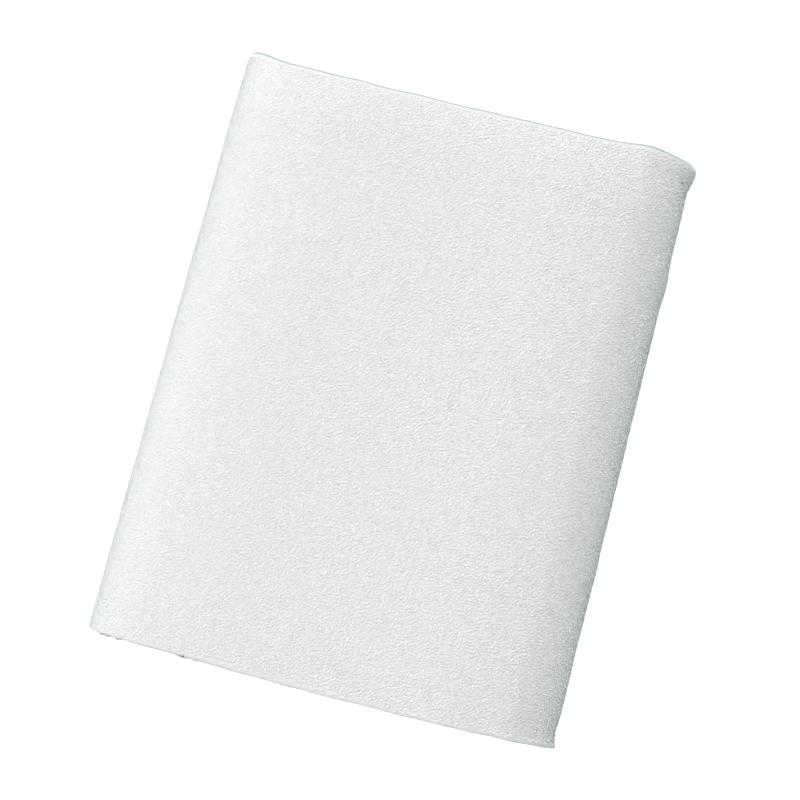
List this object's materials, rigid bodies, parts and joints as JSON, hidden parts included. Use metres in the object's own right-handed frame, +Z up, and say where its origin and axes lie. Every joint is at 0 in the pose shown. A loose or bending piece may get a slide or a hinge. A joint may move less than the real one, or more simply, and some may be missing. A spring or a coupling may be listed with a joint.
{
  "type": "nail buffer block",
  "caption": "Small white nail buffer block: a foam core under a coarse and a fine abrasive strip that roll round its long edges, with plain cut ends.",
  "frame": {"origin": "under the middle of the block, on the plane that its fine face rests on", "axes": "+X across the width, +Y along the length towards the hollow cut, +Z up from the fine face to the coarse face"},
  "size_m": [0.025, 0.0315, 0.012],
  "materials": {
    "foam": "matte",
    "glue": "satin",
    "paper": "matte",
    "resin": "satin",
    "coarse_grit": "matte",
    "fine_grit": "matte"
  },
  "bodies": {
    "root": {"foam_core": "foam", "coarse_glue_film": "glue", "coarse_backing_sheet": "paper", "coarse_bond_coat": "resin", "coarse_grit_coat": "coarse_grit", "fine_glue_film": "glue", "fine_backing_sheet": "paper", "fine_bond_coat": "resin", "fine_grit_coat": "fine_grit"}
  },
  "joints": []
}
